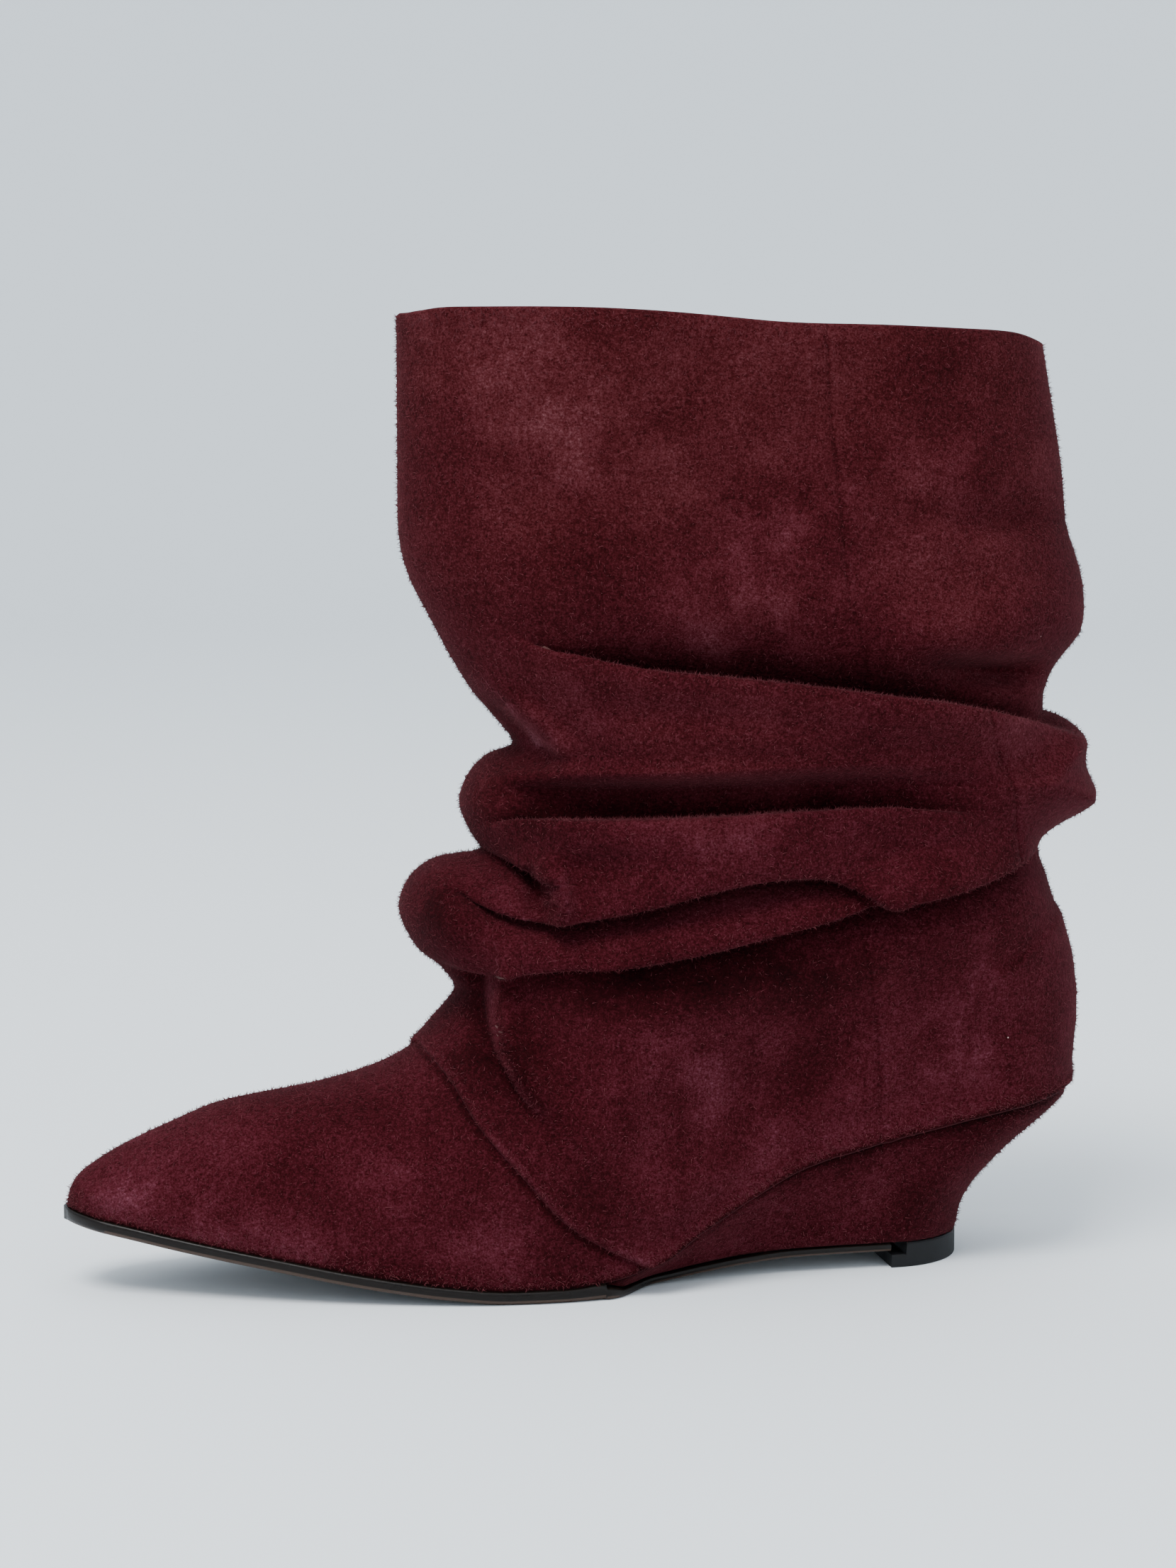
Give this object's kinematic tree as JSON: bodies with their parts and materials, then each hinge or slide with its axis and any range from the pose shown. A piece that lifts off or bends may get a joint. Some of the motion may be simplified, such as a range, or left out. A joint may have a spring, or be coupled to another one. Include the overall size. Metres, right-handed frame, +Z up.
{
  "type": "slouch boot",
  "caption": "Pull-on suede slouch boot for the left foot: pointed toe, wide gathered shaft, covered low wedge, thin outsole and rubber top piece.",
  "frame": {"origin": "on the floor under the middle of the boot's overall length and width", "axes": "+Z up, toe to -X, outer side of the foot to -Y"},
  "size_m": [0.2738, 0.0925, 0.25],
  "materials": {
    "suede": "wine red suede, brushed nap",
    "suede_cover": "wine red suede over a moulded wedge",
    "outsole": "dark leather sole with a polished black edge",
    "top_piece": "matte black rubber",
    "insole": "smooth lining leather"
  },
  "bodies": {
    "root": {"upper": "suede", "wedge_heel": "suede_cover", "outsole": "outsole", "top_piece": "top_piece", "insole": "insole"}
  },
  "joints": []
}
